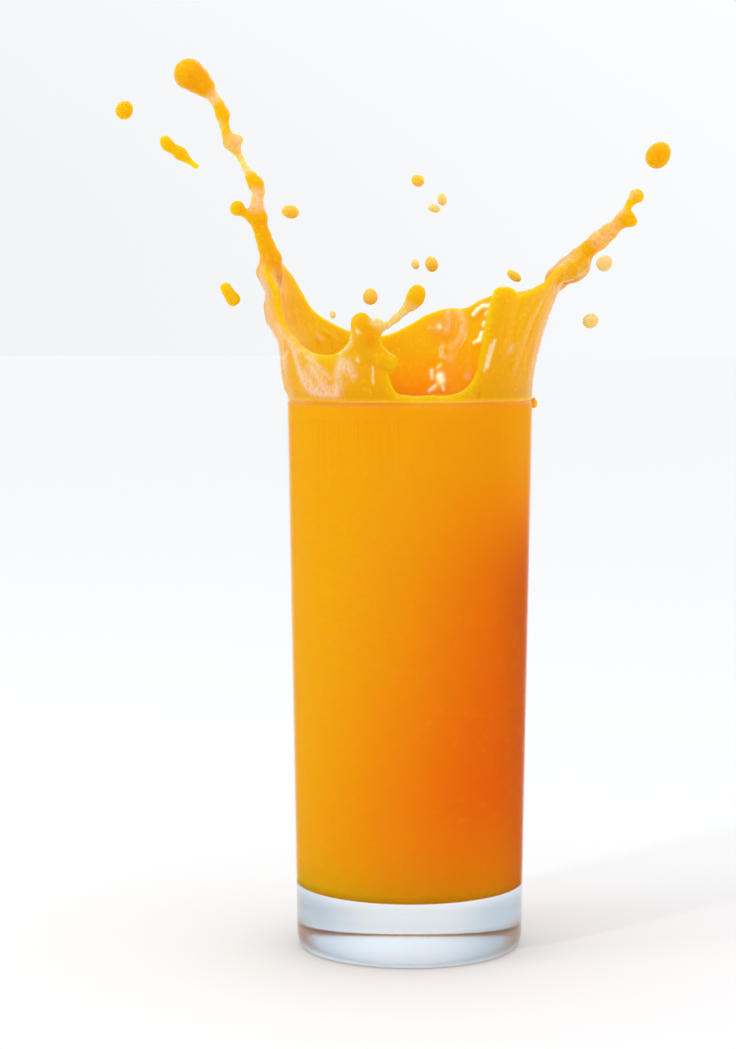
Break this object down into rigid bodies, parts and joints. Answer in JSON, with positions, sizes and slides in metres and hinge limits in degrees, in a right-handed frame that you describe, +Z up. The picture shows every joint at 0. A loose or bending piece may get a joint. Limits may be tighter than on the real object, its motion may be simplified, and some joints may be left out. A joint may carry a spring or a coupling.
{
  "type": "glass of orange juice",
  "caption": "Tall straight-sided clear glass with a heavy base, filled with orange juice that splashes out of the top in a thin crown with beaded strands and flying drops.",
  "frame": {"origin": "on the glass's axis, at the plane its flat base stands on", "axes": "+Z up along the glass's axis; -Y is the front, the side where the splash is open; +X is the right, towards the shorter of the two long strands"},
  "size_m": [0.1462, 0.0724, 0.2348],
  "materials": {
    "glass": "clear, polished, colourless",
    "juice": "wet, glossy, cloudy orange; liquid"
  },
  "bodies": {
    "root": {"glass": "glass", "juice": "juice", "drop_far_left": "juice", "drop_left_high": "juice", "drop_left_low": "juice", "drop_front_left": "juice", "drop_front_tiny": "juice", "drop_back_high": "juice", "drop_back_twin_upper": "juice", "drop_back_twin_lower": "juice", "drop_middle_small": "juice", "drop_middle": "juice", "drop_right_near": "juice", "drop_far_right": "juice", "drop_right_high": "juice", "drop_right_low": "juice", "drop_tailed": "juice", "drop_on_rim": "juice"}
  },
  "joints": []
}
